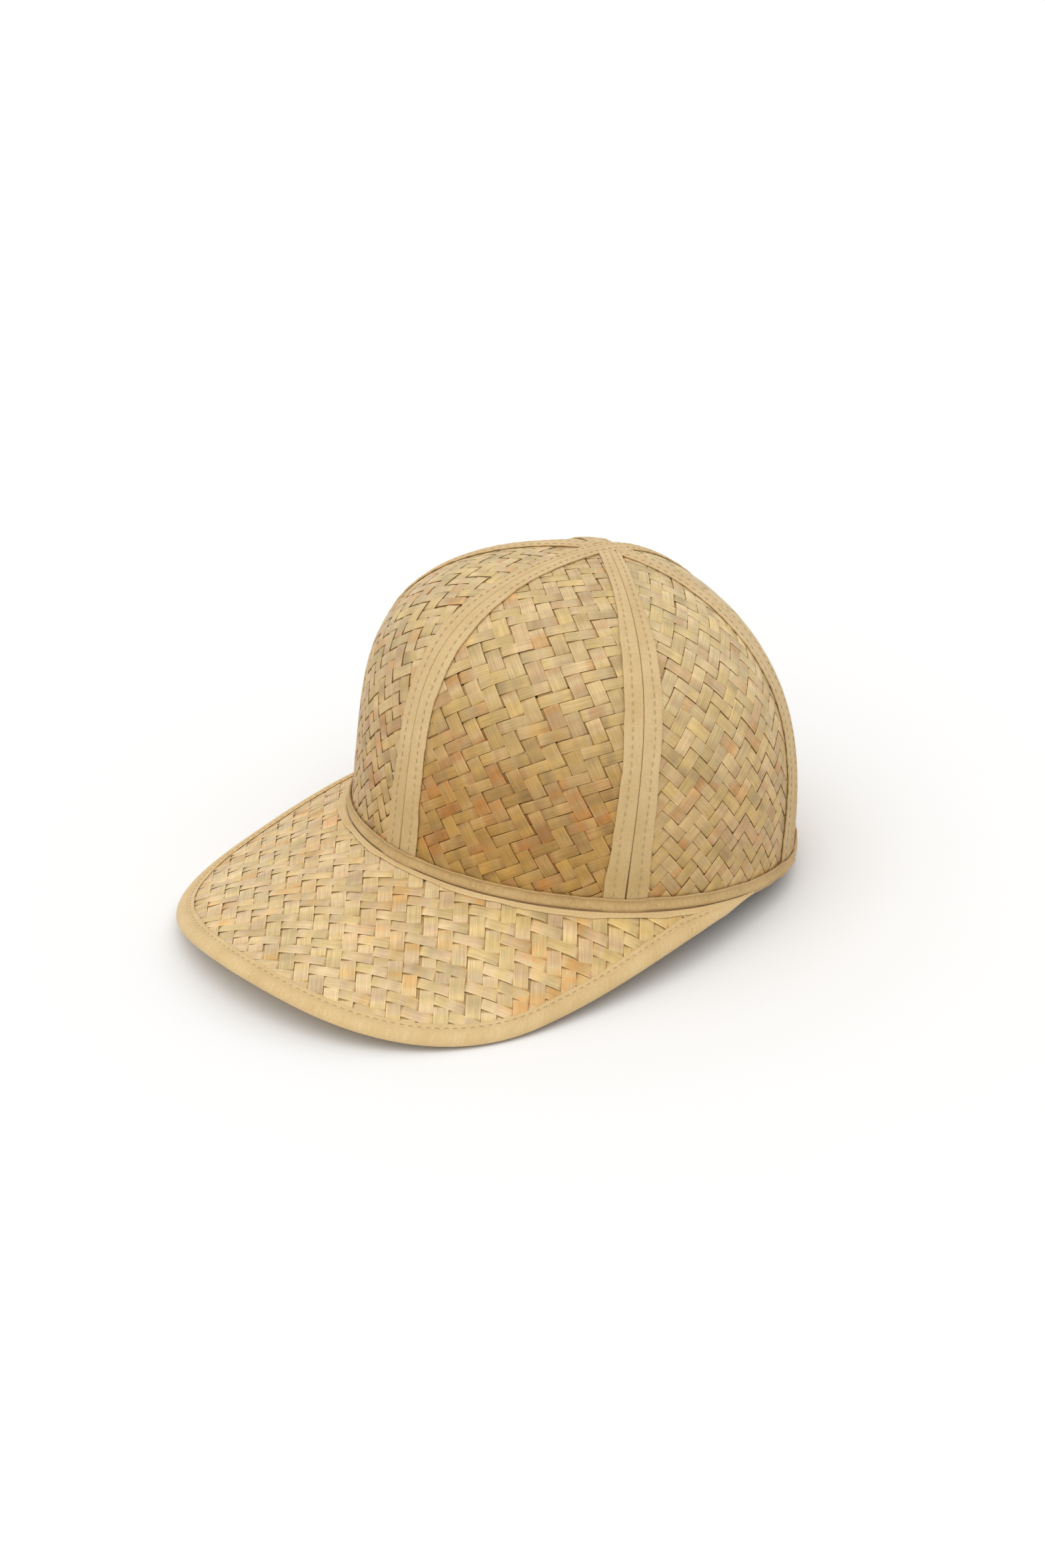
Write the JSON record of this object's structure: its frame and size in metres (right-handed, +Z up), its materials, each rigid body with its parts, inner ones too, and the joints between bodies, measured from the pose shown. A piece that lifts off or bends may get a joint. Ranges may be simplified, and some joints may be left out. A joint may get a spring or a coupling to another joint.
{
  "type": "woven straw cap",
  "caption": "Baseball-style summer cap plaited from flat straw strips, with tape-bound crown panels, a folded hem, a sweatband and a stiffened, drooping brim.",
  "frame": {"origin": "on the table, below the middle of the box round the hat as it rests", "axes": "+Z up; -Y the way the brim points; +X the wearer's left"},
  "size_m": [0.1974, 0.2667, 0.1346],
  "materials": {
    "crown_straw": "flat dried palm or straw strips, satin, tan with grey-green and orange-brown patches",
    "brim_straw": "flat dried palm or straw strips, satin, paler and yellower than the crown",
    "seam_cloth": "plain-woven cotton bias tape, matte beige",
    "sweatband_cloth": "brushed cotton twill, matte beige",
    "stiffener_board": "plain pale sheet, matte, hidden inside the brim"
  },
  "bodies": {
    "root": {"front_left_panel": "crown_straw", "side_left_panel": "crown_straw", "back_left_panel": "crown_straw", "back_right_panel": "crown_straw", "side_right_panel": "crown_straw", "front_right_panel": "crown_straw", "center_seam_tape_left": "seam_cloth", "center_seam_tape_right": "seam_cloth", "left_front_seam_tape_front": "seam_cloth", "left_front_seam_tape_rear": "seam_cloth", "left_back_seam_tape_front": "seam_cloth", "left_back_seam_tape_rear": "seam_cloth", "right_back_seam_tape_rear": "seam_cloth", "right_back_seam_tape_front": "seam_cloth", "right_front_seam_tape_rear": "seam_cloth", "right_front_seam_tape_front": "seam_cloth", "hem_binding": "seam_cloth", "sweatband": "sweatband_cloth", "brim_top_mat": "brim_straw", "brim_stiffener": "stiffener_board", "brim_bottom_mat": "brim_straw", "brim_edge_binding": "seam_cloth", "brim_inner_binding": "seam_cloth"}
  },
  "joints": []
}
